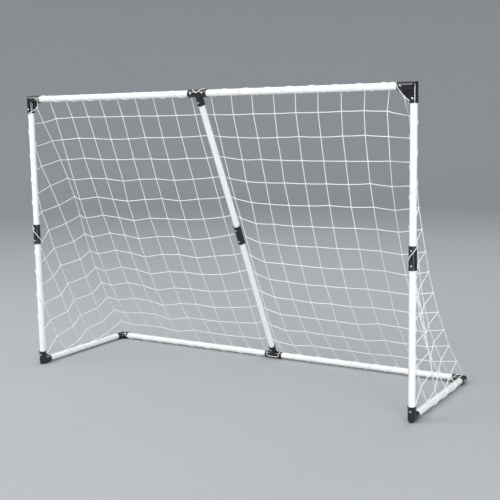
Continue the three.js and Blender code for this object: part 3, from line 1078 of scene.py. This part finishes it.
def knot_path(place, first, second, size=KNOT_SIZE, steps=26):
    """A small overhand knot pulled tight: a trefoil that lies flat in the net."""
    normal = unit(np.cross(first, second))
    first = unit(first)
    second = np.cross(normal, first)
    t = np.linspace(0, 2 * math.pi, steps, endpoint=False)
    x = np.sin(t) + 2 * np.sin(2 * t)
    y = np.cos(t) - 2 * np.cos(2 * t)
    z = -np.sin(3 * t)
    turned = rng.uniform(0, 2 * math.pi)
    c, s = math.cos(turned), math.sin(turned)
    u, v = (c * x - s * y) * size / 3, (s * x + c * y) * size / 3
    return place + u[:, None] * first + v[:, None] * second + (z * size * KNOT_THICKNESS)[:, None] * normal


def add_panel(name, cords, knot_indices, first, second, replaced):
    strands = Sweep()
    for cord in cords:
        strands.cord(curve_through(net[cord], CORD_SPACING), CORD_RADIUS)
    stands_for(strands.piece(name), "net_white", "frame", replaced)
    tied = Sweep()
    for k in knot_indices:
        tied.cord(knot_path(net[k], first, second), KNOT_CORD_RADIUS, 6, closed=True)
    stands_for(tied.piece(name + "_knots"), "net_white", "frame")


back_ties = sorted(knots.values())
add_panel("net_back_cords", back_cords, back_ties, X, slant_down, "net_back")
for side, sign in (("left", -1), ("right", 1)):
    add_panel(f"net_side_{side}_cords", side_cords[sign], side_ties[sign], Y, Z, f"net_side_{side}")


# ---- the cords that lace the net to the tubes

def on_bar(s, angle, net_side, turning, axis_place, radius_of):
    """A point on a bar's surface, turned from the net's side towards `turning`."""
    lift = float(radius_of(s)) + LACE_LIFT
    return axis_place(s) + lift * (math.cos(angle) * net_side + math.sin(angle) * turning)


def lacing(places, *bar):
    """A cord that winds once round a bar between one knot and the next. Each knot is on the net's side."""
    path = []
    for start, end in zip(places, places[1:]):
        path += [on_bar(start + (end - start) * t, 2 * math.pi * t, *bar)
                 for t in np.arange(WIND_STEPS) / WIND_STEPS]
    return path + [on_bar(places[-1], 0, *bar)]


def bar_lacing(first, swing, *bar):
    """A cord along the crossbar or the rear bar. It winds inwards from both ends and swings round the tee's
    branch in the middle, where `swing` gives its turn."""
    half = BACK_COLUMNS // 2
    left = lacing(column_x[first:half + 1], *bar)
    step = column_x[half + 1] - column_x[half]
    middle = [on_bar(column_x[half] + step * t, swing(t), *bar)
              for t in np.arange(1, WIND_STEPS) / WIND_STEPS]
    return left + middle + [p * (-1, 1, 1) for p in reversed(left)]


def part_winding(place_of, distances, degrees, *bar):
    """A cord that goes along and round a bar by way of a few chosen distances and turns."""
    stops = range(len(distances))
    path = []
    for t in np.linspace(0, stops[-1], WIND_STEPS):
        place, turn = np.interp(t, stops, distances), np.interp(t, stops, degrees)
        path.append(on_bar(place_of(place), math.radians(turn), *bar))
    return path


def corner_lacing(sign, crossbar, upright):
    """From the crossbar's last knot over the arm's mouth, past the web's rim and on to the upright's first
    knot. On the left it goes on across the front of the upright, on the right behind it."""
    inwards = (side_x - column_x[-2], 78 * MM, 57 * MM, 50 * MM)
    over = part_winding(lambda u: sign * (side_x - u), inwards, (0, 75, 150, 215), *crossbar)
    rim = np.array((sign * (side_x - TOP_TIE), front_y, top_z - TOP_TIE))
    downwards = (50 * MM, 64 * MM, 84 * MM, tube_step)
    turned = (250, 180, 90, 0) if sign < 0 else (250, 270, 310, 360)
    return over + [rim] + part_winding(lambda v: top_z - v, downwards, turned, *upright)


edges = Sweep()


def lace(places):
    edges.cord(curve_through(places, LACE_SPACING), LACE_RADIUS)


crossbar = (slant_out, -slant_down, lambda x: np.array((x, front_y, top_z)), crossbar_radius)
rear_bar = (slant_out, -slant_down, lambda x: np.array((x, rear_y, ground_z)), rear_bar_radius)
# Round the tees it swings most of the way over to the other side, and on the ground the whole way.
lace(bar_lacing(1, lambda t: 0.8 * math.pi * math.sin(math.pi * t) ** 2, *crossbar))
lace(bar_lacing(0, lambda t: math.pi * min(1.0, math.sin(math.pi * t) / 0.6) ** 2, *rear_bar))
for sign in (-1, 1):
    x = sign * side_x
    outward, inward = sign * X, -sign * X
    upright = (Y, outward, lambda z: np.array((x, front_y, z)), upright_radius)
    side_bar = (Z, inward, lambda y: np.array((x, y, ground_z)), side_tube_radius)
    tied = net[foot_ties[sign]]
    low = np.array((x, front_y + TUBE_RADIUS + LACE_RADIUS, ground_z + FOOT_ARM + CLEAR_OF_MOUTH))
    lace(corner_lacing(sign, crossbar, upright)[:-1] + lacing(upright_levels, *upright) + [low, tied])
    start = np.array((x, front_y + FOOT_ARM + CLEAR_OF_MOUTH, ground_z + TUBE_RADIUS + LACE_RADIUS))
    # Over the rear corner it lies straight, clear of the button.
    last = [on_bar(y, 0, *side_bar) for y in np.linspace(side_stations[0], rear_y, WIND_STEPS)[1:]]
    lace([tied, start] + lacing(side_stations[::-1], *side_bar) + last)
stands_for(edges.piece("net_edge_cords"), "net_white", "frame")


# ---- studio

def studio():
    """A round floor that rises into a wall all round, so that every view has the same plain ground."""
    flat, bend, wall, sides = 8.0, 4.0, 9.0, 96
    profile = [(0.4, 0.0), (4.0, 0.0), (flat, 0.0)]
    for a in np.linspace(0, math.pi / 2, 17)[1:]:
        profile.append((flat + bend * math.sin(a), bend - bend * math.cos(a)))
    profile.append((flat + bend, wall))
    round_it = np.linspace(0, 2 * math.pi, sides, endpoint=False)
    points = [(0, 0, 0)]
    for radius, z in profile:
        points += [(radius * math.cos(a), radius * math.sin(a), z) for a in round_it]
    faces = [(0, 1 + k, 1 + (k + 1) % sides) for k in range(sides)]
    for ring in range(len(profile) - 1):
        faces += band(1 + (ring + 1) * sides, 1 + ring * sides, sides)
    make_piece("studio_floor", points, faces, STUDIO_GREY)


def area_light(name, place, target, size, power, colour=(1, 1, 1)):
    light = bpy.data.lights.new(name, "AREA")
    light.shape = "RECTANGLE"
    light.size, light.size_y = size
    light.energy = power
    light.color = colour
    made = bpy.data.objects.new(name, light)
    made.location = place
    made.rotation_euler = (Vector(target) - Vector(place)).to_track_quat("-Z", "Y").to_euler()
    bpy.context.scene.collection.objects.link(made)


studio()
area_light("light_key", (-3.2, -3.6, 4.4), (-2.2, 0, 0.4), (5.2, 0.9), 265, (1.0, 0.985, 0.96))
area_light("light_fill", (4.3, -4.0, 1.1), (0, 0, 0.5), (1.8, 1.8), 205, (0.95, 0.975, 1.0))
area_light("light_back", (0.8, 4.4, 4.6), (0, 0, 0.6), (4.0, 1.4), 70)

world = bpy.data.worlds.new("studio_air")
world.use_nodes = True
world.node_tree.nodes["Background"].inputs["Color"].default_value = (0.9, 0.95, 1.0, 1)
world.node_tree.nodes["Background"].inputs["Strength"].default_value = 0.94
bpy.context.scene.world = world

scene = bpy.context.scene
scene.view_settings.view_transform = "Standard"
scene.view_settings.look = "None"

# The camera stands to the right of the mouth, a little below the crossbar's height, with a slight roll.
camera_data = bpy.data.cameras.new("camera")
camera_data.sensor_width = 36
camera_data.lens = 66.7
camera = bpy.data.objects.new("camera", camera_data)
scene.collection.objects.link(camera)
eye, aim = Vector((2.08, -3.36, 1.09)), Vector((0.053, 0, 0.546))
camera.rotation_mode = "QUATERNION"
camera.location = eye
look = (aim - eye).to_track_quat("-Z", "Y")
camera.rotation_quaternion = look @ Matrix.Rotation(math.radians(-1.0), 4, "Z").to_quaternion()
scene.camera = camera
